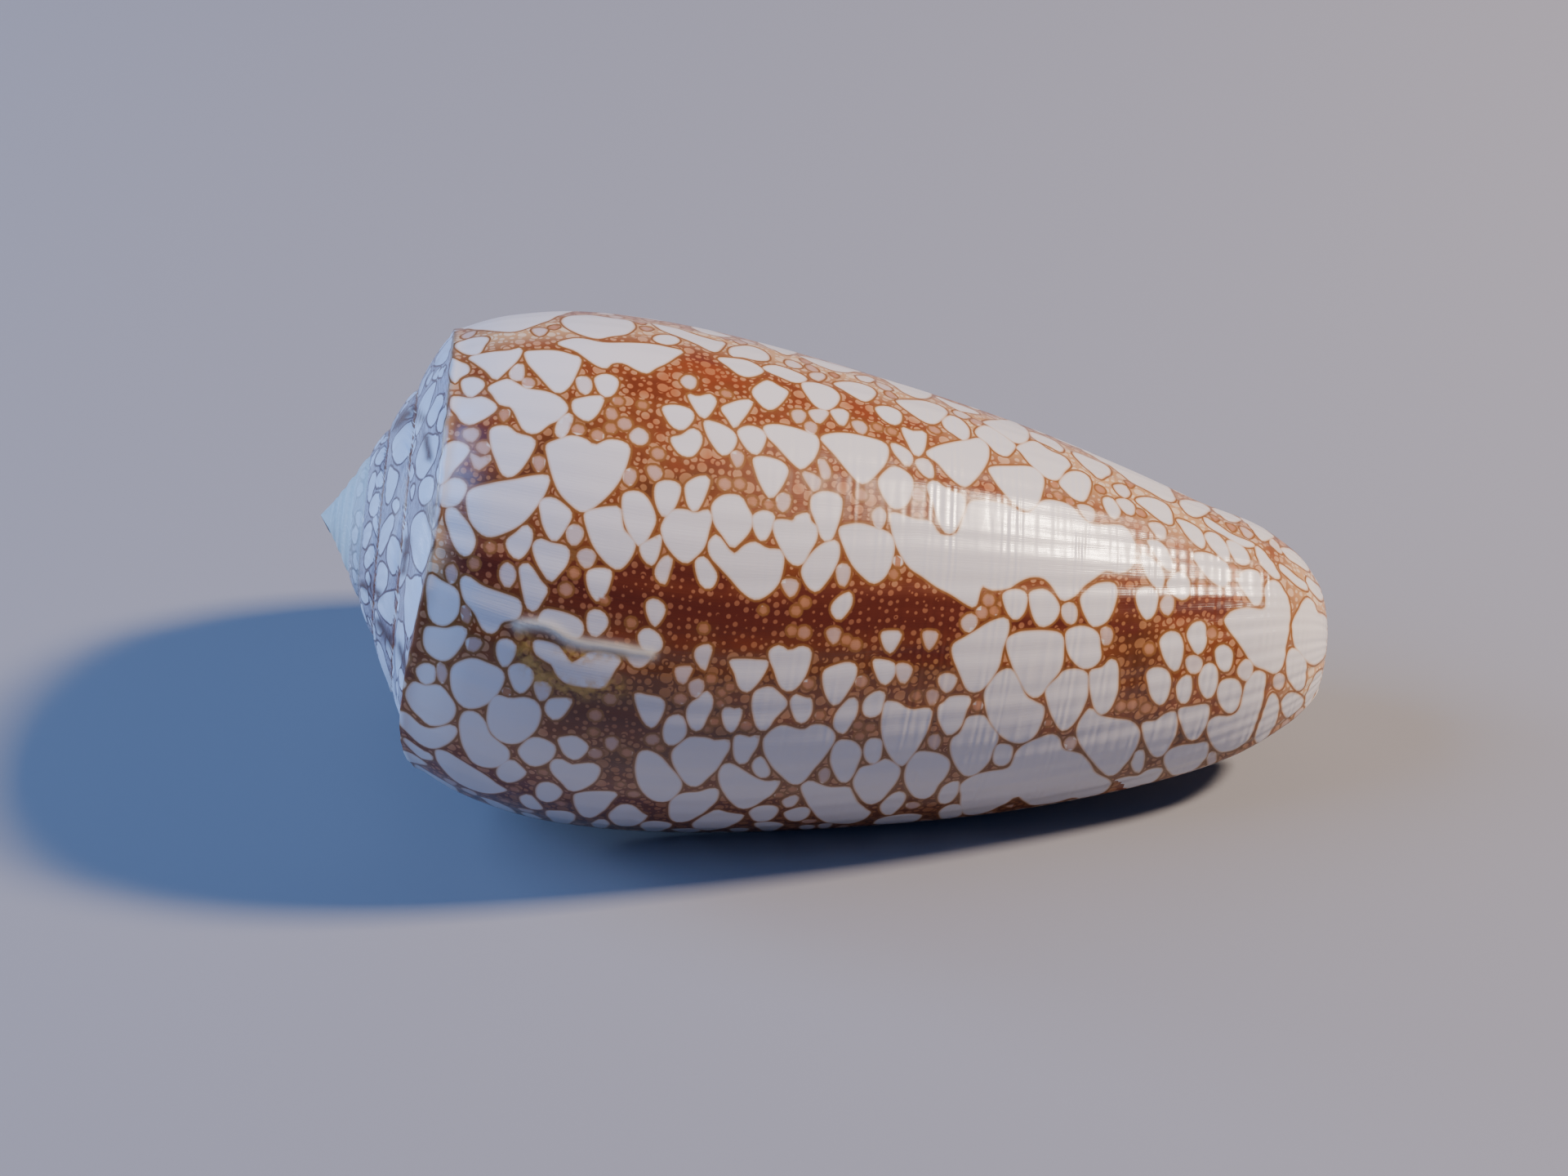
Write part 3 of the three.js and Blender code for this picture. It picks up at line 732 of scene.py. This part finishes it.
def lay_tent(middle, normal, flat):
    """Lays a tent, drawn flat round its middle, on the shell. It ends where its whorl does."""
    across, ahead = local_axes(middle, normal)
    reach = np.linalg.norm(flat, axis=1).max() + farthest
    offset = places - middle
    distance = (offset**2).sum(axis=1)
    own_whorl = np.abs(vert_turns - vert_turns[distance.argmin()]) < half_turn
    own_side = normals @ normal > faces_its_way
    near = np.flatnonzero((distance < reach**2) & own_side & own_whorl & outside)
    points = np.column_stack([offset[near] @ across, offset[near] @ ahead])
    depth = depth_inside(points, flat)
    edge = near[depth > -close_by]
    layer = np.argmin([(tent_layers[layer, edge] > -close_by).sum() for layer in range(layers)])
    tent_layers[layer, near] = np.maximum(tent_layers[layer, near], depth)
    nearer = depth > room[near]
    room[near[nearer]] = depth[nearer]
    tent_size[near[nearer]] = outline_size(flat)


def normal_at(spot):
    return np.array(surface.find_nearest(spot)[1])


# Tents that the camera sees squarely enough lend their shapes to the rest of the shell.
seen_squarely = 0.5
drop_scale = 0.85
drop_corners = 8
shapes = []
for line in tents.replace("\n    ", " ").strip().split("\n"):
    spots = cast(pixels(line.split()))
    middle = spots.mean(axis=0)
    normal = normal_at(middle)
    across, ahead = local_axes(middle, normal)
    flat = rounded(np.column_stack([(spots - middle) @ across, (spots - middle) @ ahead]))
    lay_tent(middle, normal, flat)
    if normal @ (np.array(camera_place) - middle) > seen_squarely * camera_distance:
        shapes.append(flat)
ring = np.linspace(0, 2 * np.pi, drop_corners, endpoint=False)
round_shape = np.column_stack([np.cos(ring), np.sin(ring)])
for drop in drops.split():
    x, y, radius = (float(value) for value in drop.split(","))
    spot = seen_at(x, y)
    radius = drop_scale * radius * camera_distance / lens_pixels
    lay_tent(np.array(spot), normal_at(spot), rounded(round_shape * radius))
shape_sizes = np.array([outline_size(flat) for flat in shapes])

# On the rest of the shell tents of the same shapes are packed at random, the large ones first. Each size is
# the radius of a circle with the tent's area, in millimetres, with the number of tries to place one.
chance = np.random.default_rng(5)
gap = 0.13 * MM
ramp_share = 0.32
bleached_before = -3.6
turned_away = 0.4
base_rim = 0.99
size_spread = (0.8, 1.2)
likeness_spread = (0.7, 1.3)
free_share = 0.6
corner_reach = 1.3
corner_step = 3
on_ramp = (vert_down < 0) & (vert_turns > bleached_before)
on_side = (facing < turned_away) & (vert_down > 0) & (vert_down < base_rim)
free = np.flatnonzero(outside & (on_ramp | on_side))
packing = (
    (2.6, 60), (2.0, 200), (1.6, 400), (1.2, 800), (0.95, 1000), (0.72, 1600), (0.55, 2200), (0.4, 3000),
    (0.3, 3500),
)


def fits(middle, normal, flat):
    """Whether a tent would keep its gap from the others all round its outline."""
    across, ahead = local_axes(middle, normal)
    offset = places - middle
    reach = corner_reach * np.linalg.norm(flat, axis=1).max()
    near = np.flatnonzero((offset**2).sum(axis=1) < reach**2)
    points = np.column_stack([offset[near] @ across, offset[near] @ ahead])
    corners = ((points - corner) ** 2 for corner in flat[::corner_step])
    return max(room[near[corner.sum(axis=1).argmin()]] for corner in corners) < -gap


for size, tries in packing:
    for vert in chance.choice(free, tries):
        wanted = size * MM * chance.uniform(*size_spread)
        if vert_down[vert] < 0:
            ramp_width = shoulder_radius * growth_per_turn ** vert_turns[vert] * (1 - 1 / growth_per_turn)
            wanted = min(wanted, ramp_share * ramp_width)
        likeness = np.abs(shape_sizes / wanted - chance.uniform(*likeness_spread))
        mirrored = chance.choice([-1, 1])
        if room[vert] > -free_share * wanted:
            continue
        flat = shapes[likeness.argmin()]
        flat = flat * [mirrored, 1] * wanted / outline_size(flat)
        if fits(places[vert], normals[vert], flat):
            lay_tent(places[vert], normals[vert], flat)

# The ground between the tents is not one brown. Strokes through the picture's pixels, each with its colour
# and the radius of the brush, say where it is darkest, golden or lighter, and where the scar has stained it.
# The lighter strokes along the upper edge, down the shoulder's crest and over the base end are painted
# highlight and painted sheen, not a lighter ground of the shell.
strokes = """
dark 40 700,718 790,740 900,752 1040,755 1170,760
dark 26 720,705 820,700 880,715
dark 26 575,690 640,700
dark 20 980,725 1060,735 1180,745
dark 22 690,870 750,880 790,885
dark 14 1380,740 1500,745
gold 34 1390,780 1400,850
dark 10 1240,760 1390,770
dark 16 1090,800 1160,800
dark 14 560,520 600,535
gold 30 800,825 900,835 1000,830 1160,820
gold 26 700,850 800,850 880,870
gold 22 560,590 640,585 700,520
gold 24 740,930 840,935 900,900
gold 16 640,800 700,840 760,835
gold 18 1040,870 1160,880
gold 16 790,600 860,590
gold 20 1380,900 1500,900
gold 30 560,990 800,1010 1100,1010 1300,990
pale 13 560,420 640,405 740,395 820,402 900,420
pale 15 900,420 1000,445 1100,480 1180,515
pale 26 1180,515 1300,560 1420,620 1520,670
pale 34 1600,700 1630,760 1600,860
pale 16 540,440 536,560 530,700
ochre 11 640,800 660,830 700,848 755,842
ochre 9 690,800 712,806 730,800 770,800
ochre 8 636,772 646,790
dark 5 505,500 515,512
dark 7 482,520 498,505
dark 8 526,622 532,645
dark 5 443,716 462,727
dark 6 462,762 478,788
dark 5 520,535 524,560
dark 5 497,660 492,700
dark 5 486,790 500,830
"""
kinds = ("dark", "gold", "pale", "ochre")
zones = np.zeros((len(kinds), len(places)))
to_picture = np.array(camera_rotation.to_matrix())
in_camera = (places - np.array(camera_place)) @ to_picture
picture = np.column_stack([in_camera[:, 0], -in_camera[:, 1]]) * lens_pixels / -in_camera[:, 2:]
picture += [picture_width / 2, picture_height / 2]
for stroke in strokes.strip().split("\n"):
    kind, radius, *line = stroke.split()
    share = np.exp(-((distance_to(picture, pixels(line)) / float(radius)) ** 2))
    zones[kinds.index(kind)] = np.maximum(zones[kinds.index(kind)], share)

# On the side that the picture doesn't show, dark, golden and faded stretches lie along the growth lines too,
# and short dark ones on the ramps: what and where, how many, and their half length and width in millimetres.
free_side = free[vert_down[free] > 0]
free_ramp = free[vert_down[free] < 0]
stretches = (
    ("dark", free_side, 26, 8, 1.5), ("gold", free_side, 26, 6, 1.6), ("pale", free_side, 9, 5, 1.4),
    ("dark", free_ramp, 30, 0.7, 0.4),
)
seen_fully = 0.2
unseen = np.zeros_like(zones)
for kind, free_verts, count, reach, width in stretches:
    for vert in chance.choice(free_verts, count):
        across, ahead = local_axes(places[vert], normals[vert])
        offset = (places - places[vert]) / MM
        spread = (offset @ across / reach) ** 2 + (offset @ ahead / width) ** 2
        share = np.exp(-spread) * (normals @ normals[vert] > 0)
        unseen[kinds.index(kind)] = np.maximum(unseen[kinds.index(kind)], share)
seen = np.clip(facing / seen_fully, 0, 1)
zones = zones * seen + unseen * (1 - seen)

# Relief. The wall swells and sinks a little from one rest in the growth to the next: waves in a turn, and
# where each starts. The sutures lie in a groove, and a low crest runs along the shoulder. A scar, healed with
# a pale ridge, crosses a growth line: the snail mended a break there. All of it stays below the CAD model's
# surface, apart from the ridge and the crest.
inset = 0.04 * MM
groove = 0.13 * MM
groove_width = 0.3 * MM
swell = 0.012 * MM
rests = ((23, 0.3), (37, 1.9), (61, 4.1))
relief_growth = 0.7
crest = 0.09 * MM
crest_width = 0.25 * MM
scar_height = 0.07 * MM
scar_width = 0.2 * MM
scar_paleness = 0.3 * MM
scar = """
634,766 648,764 662,765 674,768 684,775 694,782 706,787 720,790 740,792 760,795 776,799 796,801
"""
to_world = np.array(pose.to_3x3()).T
spiral_steps = 1000


def distance_to_shoulder(first, last, steps):
    """How far each point of the mesh lies from the shoulder's spiral, from one turn to another."""
    turns = np.linspace(first, last, steps)
    spots = place(*shoulder(turns), turns) @ to_world + np.array(resting_place)
    tree = KDTree(len(spots))
    for index, spot in enumerate(spots):
        tree.insert(spot, index)
    tree.balance()
    return np.array([tree.find(spot)[2] for spot in places])


growth = growth_per_turn ** np.minimum(0, relief_growth * vert_turns)
suture_distance = distance_to_shoulder(-len(ramp_rows), -1, 3 * spiral_steps)
shift = -inset - groove * growth * np.exp(-((suture_distance / (groove_width * growth)) ** 2))
for waves, start in rests:
    shift += swell * (np.sin(2 * np.pi * waves * vert_turns + start) - 1) * growth
scar_distance = distance_to(places, cast(pixels(scar.split())))
shift += scar_height * np.exp(-((scar_distance / scar_width) ** 2))
shift += crest * np.exp(-((distance_to_shoulder(-1, 0, spiral_steps) / crest_width) ** 2))
for vert, move in zip(shell_mesh.verts, np.where(vert_face == INSIDE, 0, shift)):
    vert.co += vert.normal * move

# The mesh is finished with its pattern in attributes, in millimetres.
for face in shell_mesh.faces:
    face.smooth = True
shell_data = bpy.data.meshes.new("cone_shell")
shell_mesh.to_mesh(shell_data)
shell = bpy.data.objects.new("cone_shell", shell_data)
bpy.context.scene.collection.objects.link(shell)
scar_share = np.exp(-((scar_distance / scar_paleness) ** 2))
marks = np.array([tent_size / MM, scar_share, vert_face != OUTSIDE, np.ones(len(places))])
half = layers // 2
colour_layers = {
    "tents_a": tent_layers[:half] / MM,
    "tents_b": tent_layers[half:] / MM,
    "zones": zones,
    "marks": marks,
}
for name, values in colour_layers.items():
    attribute = shell_data.attributes.new(name, "FLOAT_COLOR", "POINT")
    attribute.data.foreach_set("color", values.T.astype(np.float32).ravel())
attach(shell, "root")
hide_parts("shell")

# The shell's lime is crossed-lamellar aragonite under a thin glossy polish of its own. Its brown is in the
# lime. Fine spiral threads and growth lines catch the light.
lime = bpy.data.materials.new("polished shell lime")
lime.use_nodes = True
tree = lime.node_tree
shader = tree.nodes["Principled BSDF"]


def linear(code):
    """A hex colour as the linear values that Blender takes."""
    values = [int(code[at : at + 2], 16) / 255 for at in (1, 3, 5)]
    return [value / 12.92 if value <= 0.04045 else ((value + 0.055) / 1.055) ** 2.4 for value in values] + [1]


def node(kind, settings, inputs, out=0):
    """Adds a node with its settings, and feeds its inputs with values, hex colours or nodes' outputs."""
    made = tree.nodes.new("ShaderNode" + kind)
    for name, value in settings.items():
        setattr(made, name, value)
    for name, value in inputs.items():
        if isinstance(value, bpy.types.NodeSocket):
            tree.links.new(value, made.inputs[name])
        else:
            made.inputs[name].default_value = linear(value) if isinstance(value, str) else value
    return made.outputs[out]


MIX = {"data_type": "RGBA"}
EASE = {"interpolation_type": "SMOOTHSTEP"}

depth = None
for name in ("tents_a", "tents_b"):
    layer = node("Attribute", {"attribute_name": name}, {}, "Color")
    parts = list(node("SeparateColor", {}, {"Color": layer}).node.outputs) + [layer.node.outputs["Alpha"]]
    for part in parts:
        depth = node("Math", {"operation": "MAXIMUM"}, {0: depth, 1: part}) if depth else part
zone_layer = node("Attribute", {"attribute_name": "zones"}, {}, "Color")
dark, gold, pale = node("SeparateColor", {}, {"Color": zone_layer}).node.outputs
ochre = zone_layer.node.outputs["Alpha"]
mark_layer = node("Attribute", {"attribute_name": "marks"}, {}, "Color")
size, ridge, inner = node("SeparateColor", {}, {"Color": mark_layer}).node.outputs
growth_map = node("UVMap", {"uv_map": "growth"}, {}, "UV")
turn, fall, _ = node("SeparateXYZ", {}, {"Vector": growth_map}).node.outputs

# The ground's small cells lie in spiral rows, as wide as they are high at every girth of the shell. They are
# round, larger beside the tents and smaller where the ground is dark. Each set of rows has a spacing in
# millimetres and, as shares of it, the cells' least radius, how much larger some are, and what dark ground
# adds. Cells stray from the middle of their place, and keep apart from other cells and from the tents.
cell_sets = ((0.48, 0.16, 0.22, -0.07), (0.8, 0.06, 0.34, -0.3))
stray = 0.42
more_beside = 0.05
off_cells, off_cells_blend = 0.07, 0.06
off_tents, off_tents_blend = 0.14, 0.1
row_mid = 0.005
girth_shares = (0.07, 0.2, 0.4, 0.6, 0.8, 0.9, 0.96)
coordinates = node("TexCoord", {}, {}, "Object")
own_frame = {"Location": resting_place, "Rotation": pose.to_euler()}
coordinates = node("Mapping", {"vector_type": "TEXTURE"}, {"Vector": coordinates, **own_frame})
beside = node("MapRange", EASE, {"Value": depth, "From Min": -0.8, "From Max": -0.15})
grown_by = node("Math", {"operation": "POWER"}, {0: growth_per_turn, 1: turn})
widest = outline_out.max()
cells = None
for spacing, least, more, if_dark in cell_sets:
    along = node("Math", {"operation": "MULTIPLY"}, {0: fall, 1: side_length / (spacing * MM)})
    row = node("Math", {"operation": "FLOOR"}, {0: along})
    share = node("Math", {"operation": "MULTIPLY_ADD"}, {0: row, 1: spacing * MM / side_length, 2: row_mid})
    girth = node("FloatCurve", {}, {"Value": share})
    curve = girth.node.mapping.curves[0]
    for point, share in ((curve.points[0], 0), (curve.points[1], 1)):
        point.location = (share, np.interp(share, outline_share, outline_out) / widest)
    for share in girth_shares:
        curve.points.new(share, np.interp(share, outline_share, outline_out) / widest)
    girth.node.mapping.update()
    around_scale = 2 * math.pi * widest / math.log(growth_per_turn) / (spacing * MM)
    around = node("Math", {"operation": "MULTIPLY"}, {0: grown_by, 1: girth})
    start = node("TexWhiteNoise", {"noise_dimensions": "1D"}, {"W": row}, "Value")
    around = node("Math", {"operation": "MULTIPLY_ADD"}, {0: around, 1: around_scale, 2: start})
    column = node("Math", {"operation": "FLOOR"}, {0: around})
    corner = node("CombineXYZ", {}, {"X": column, "Y": row})
    draw = node("TexWhiteNoise", {"noise_dimensions": "2D"}, {"Vector": corner}, "Color")
    spot = node("CombineXYZ", {}, {"X": around, "Y": along})
    offset = node("VectorMath", {"operation": "SUBTRACT"}, {0: spot, 1: corner})
    middle = (0.5 - stray / 2, 0.5 - stray / 2, 0)
    middle = node("VectorMath", {"operation": "MULTIPLY_ADD"}, {0: draw, 1: (stray, stray, 0), 2: middle})
    offset = node("VectorMath", {"operation": "SUBTRACT"}, {0: offset, 1: middle})
    distance = node("VectorMath", {"operation": "LENGTH"}, {0: offset}, "Value")
    size_draw = node("SeparateXYZ", {}, {"Vector": draw}, "Z")
    radius = node("Math", {"operation": "MULTIPLY_ADD"}, {0: size_draw, 1: more, 2: least})
    radius = node("Math", {"operation": "MULTIPLY_ADD"}, {0: beside, 1: more_beside, 2: radius})
    radius = node("Math", {"operation": "MULTIPLY_ADD"}, {0: dark, 1: if_dark, 2: radius})
    cell = node("Math", {"operation": "SUBTRACT"}, {0: radius, 1: distance})
    cell = node("Math", {"operation": "MULTIPLY"}, {0: cell, 1: spacing})
    if cells:
        apart = node("Math", {"operation": "MULTIPLY_ADD"}, {0: cell, 1: -1.0, 2: -off_cells})
        cells = node("Math", {"operation": "SMOOTH_MIN"}, {0: cells, 1: apart, 2: off_cells_blend})
        cells = node("Math", {"operation": "MAXIMUM"}, {0: cells, 1: cell})
    else:
        cells = cell
apart = node("Math", {"operation": "MULTIPLY_ADD"}, {0: depth, 1: -1.0, 2: -off_tents})
cells = node("Math", {"operation": "SMOOTH_MIN"}, {0: cells, 1: apart, 2: off_tents_blend})
cells = node("MapRange", EASE, {"Value": cells, "From Min": -0.02, "From Max": 0.04})

mottle = node("TexNoise", {}, {"Vector": coordinates, "Scale": 1 / (2.5 * MM), "Detail": 3.0})
mottle = node("MapRange", EASE, {"Value": mottle, "From Min": 0.35, "From Max": 0.65})
ground = node("Mix", MIX, {0: mottle, 6: "#6E3210", 7: "#863F16"}, 2)
ground = node("Mix", MIX, {0: beside, 6: ground, 7: "#7E441A"}, 2)
ground = node("Mix", MIX, {0: gold, 6: ground, 7: "#623410"}, 2)
ground = node("Mix", MIX, {0: dark, 6: ground, 7: "#5E260E"}, 2)
# Painted highlight and sheen: where the lighter zone is strong, the ground and its cells turn pale tan. On
# the side that faces the camera this is painted light along the upper edge, the shoulder's crest and the base
# end; on the unseen side the same zone is faded ground.
ground = node("Mix", MIX, {0: pale, 6: ground, 7: "#C69A6C"}, 2)
speck = node("Mix", MIX, {0: beside, 6: "#AC683C", 7: "#BA845A"}, 2)
speck = node("Mix", MIX, {0: dark, 6: speck, 7: "#935A3A"}, 2)
speck = node("Mix", MIX, {0: gold, 6: speck, 7: "#96643A"}, 2)
speck = node("Mix", MIX, {0: pale, 6: speck, 7: "#DDC4A4"}, 2)
ground = node("Mix", MIX, {0: cells, 6: ground, 7: speck}, 2)

# A tent is white, its edge warm, inside a thin amber line. Small ones are tan.
grown = node("MapRange", EASE, {"Value": size, "From Min": 0.22, "From Max": 0.62})
white = node("Mix", MIX, {0: grown, 6: "#B67C56", 7: "#DEDAD9"}, 2)
rim = node("Mix", MIX, {0: grown, 6: "#A87048", 7: "#D2B08E"}, 2)
within = node("MapRange", EASE, {"Value": depth, "From Min": -0.06, "From Max": 0.12})
white = node("Mix", MIX, {0: within, 6: rim, 7: white}, 2)
edge = node("MapRange", EASE, {"Value": depth, "From Min": -0.2, "From Max": -0.11})
colour = node("Mix", MIX, {0: edge, 6: ground, 7: "#8A5A2A"}, 2)
tent = node("MapRange", EASE, {"Value": depth, "From Min": -0.08, "From Max": 0.0})
colour = node("Mix", MIX, {0: tent, 6: colour, 7: white}, 2)

# The spire's ramps are nearly white, with fine grey-brown lines, and its oldest turns are bleached.
line_share = node("MapRange", EASE, {"Value": depth, "From Min": -0.02, "From Max": -0.08})
far_share = node("MapRange", EASE, {"Value": depth, "From Min": -0.12, "From Max": -0.2})
line_share = node("Math", {"operation": "SUBTRACT"}, {0: line_share, 1: far_share})
ramp_colour = node("Mix", MIX, {0: cells, 6: "#A4969C", 7: "#CED0DC"}, 2)
ramp_colour = node("Mix", MIX, {0: tent, 6: ramp_colour, 7: "#E4EAF2"}, 2)
ramp_colour = node("Mix", MIX, {0: line_share, 6: ramp_colour, 7: "#7C625E"}, 2)
ramp_colour = node("Mix", MIX, {0: dark, 6: ramp_colour, 7: "#66483F"}, 2)
on_spire = node("MapRange", EASE, {"Value": fall, "From Min": 0.0, "From Max": -0.12})
colour = node("Mix", MIX, {0: on_spire, 6: colour, 7: ramp_colour}, 2)
bleached = node("MapRange", EASE, {"Value": turn, "From Min": -2.8, "From Max": -3.6})
colour = node("Mix", MIX, {0: bleached, 6: colour, 7: "#DAEAE4"}, 2)

# The scar is cream, with ochre stains, and the inside and the lip's edge are bare porcelain white.
stain = node("TexNoise", {}, {"Vector": coordinates, "Scale": 1 / (0.5 * MM), "Detail": 2.0})
stain = node("MapRange", EASE, {"Value": stain, "From Min": 0.34, "From Max": 0.62, "To Max": 0.7})
stain = node("Math", {"operation": "MULTIPLY"}, {0: stain, 1: ochre})
colour = node("Mix", MIX, {0: stain, 6: colour, 7: "#D2A650"}, 2)
colour = node("Mix", MIX, {0: ridge, 6: colour, 7: "#F0E6CE"}, 2)
colour = node("Mix", MIX, {0: inner, 6: colour, 7: "#E2DAD2"}, 2)
tree.links.new(colour, shader.inputs["Base Color"])

# Spiral threads lie 0.6 mm apart on the side, strongest towards the base. Growth lines cross them. Rates are
# how often the threads' strong patches and the growth lines come, in a turn and down the side.
NOISE_1D = {"noise_dimensions": "1D"}
NOISE_2D = {"noise_dimensions": "2D"}
thread_spacing = 0.6 * MM
thread_drift = 0.025
patch_rates = (26.0, 60.0, 0.0)
line_rates = (950.0, 22.0, 0.0)
bump_depth = 0.008 * MM
drift = node("TexNoise", NOISE_1D, {"W": fall, "Scale": 26.0, "Detail": 1.0})
threads = node("Math", {"operation": "MULTIPLY_ADD"}, {0: drift, 1: thread_drift, 2: fall})
threads = node("Math", {"operation": "MULTIPLY"}, {0: threads, 1: 2 * math.pi * side_length / thread_spacing})
threads = node("Math", {"operation": "SINE"}, {0: threads})
thread_share = node("MapRange", EASE, {"Value": fall, "From Min": 0.25, "From Max": 0.6, "To Min": 0.1})
threads = node("Math", {"operation": "MULTIPLY"}, {0: threads, 1: thread_share})
patches = node("VectorMath", {"operation": "MULTIPLY"}, {0: growth_map, 1: patch_rates})
patches = node("TexNoise", NOISE_2D, {"Vector": patches, "Scale": 1.0, "Detail": 1.0})
patches = node("MapRange", EASE, {"Value": patches, "From Min": 0.3, "From Max": 0.7, "To Min": 0.15})
threads = node("Math", {"operation": "MULTIPLY"}, {0: threads, 1: patches})
growth_lines = node("VectorMath", {"operation": "MULTIPLY"}, {0: growth_map, 1: line_rates})
growth_lines = node("TexNoise", NOISE_2D, {"Vector": growth_lines, "Scale": 1.0, "Detail": 2.0})
stronger_on_ramps = {"From Min": 0.0, "From Max": -0.1, "To Min": 0.7, "To Max": 2.5}
line_strength = node("MapRange", EASE, {"Value": fall, **stronger_on_ramps})
growth_lines = node("Math", {"operation": "MULTIPLY"}, {0: growth_lines, 1: line_strength})
height = node("Math", {"operation": "ADD"}, {0: threads, 1: growth_lines})
bump = node("Bump", {}, {"Height": height, "Strength": 1.0, "Distance": bump_depth})
for name in ("Normal", "Coat Normal"):
    tree.links.new(bump, shader.inputs[name])
polish = {"IOR": 1.55, "Roughness": 0.3, "Coat Weight": 0.3, "Coat Roughness": 0.12}
for name, value in polish.items():
    shader.inputs[name].default_value = value
shell_data.materials.append(lime)

# A plain pale floor.
floor_size = 3
floor_mesh = bmesh.new()
bmesh.ops.create_grid(floor_mesh, x_segments=1, y_segments=1, size=floor_size)
floor_data = bpy.data.meshes.new("floor")
floor_mesh.to_mesh(floor_data)
paper = bpy.data.materials.new("matt studio paper")
paper.use_nodes = True
paper.node_tree.nodes["Principled BSDF"].inputs["Base Color"].default_value = linear("#8E8F93")
paper.node_tree.nodes["Principled BSDF"].inputs["Roughness"].default_value = 0.9
floor_data.materials.append(paper)
floor = bpy.data.objects.new("floor", floor_data)
bpy.context.scene.collection.objects.link(floor)

# Soft studio light: a warm lamp high on the right and a little behind, a wide cool one over the spire, and a
# small cool one low beside it. The room round them is dim and blue. A lamp has its place, size, power and
# colour.
lamps = (
    ("key", (0.316, 0.035, 0.318), 0.05, 3.6, "#FFE6D0"),
    ("sky", (-0.34, 0.02, 0.24), 0.3, 2.2, "#8CB4FF"),
    ("window", (-0.4, 0.12, 0.12), 0.08, 0.6, "#C4DCFF"),
)
for name, spot, size, energy, tint in lamps:
    lamp_data = bpy.data.lights.new(name, "AREA")
    lamp_data.size = size
    lamp_data.energy = energy
    lamp_data.color = linear(tint)[:3]
    lamp = bpy.data.objects.new(name, lamp_data)
    lamp.matrix_world = Matrix.LocRotScale(Vector(spot), (-Vector(spot)).to_track_quat("-Z", "Y"), None)
    bpy.context.scene.collection.objects.link(lamp)
world = bpy.data.worlds.new("room")
world.use_nodes = True
world.node_tree.nodes["Background"].inputs["Color"].default_value = linear("#7C9CE8")
world.node_tree.nodes["Background"].inputs["Strength"].default_value = 0.2
bpy.context.scene.world = world
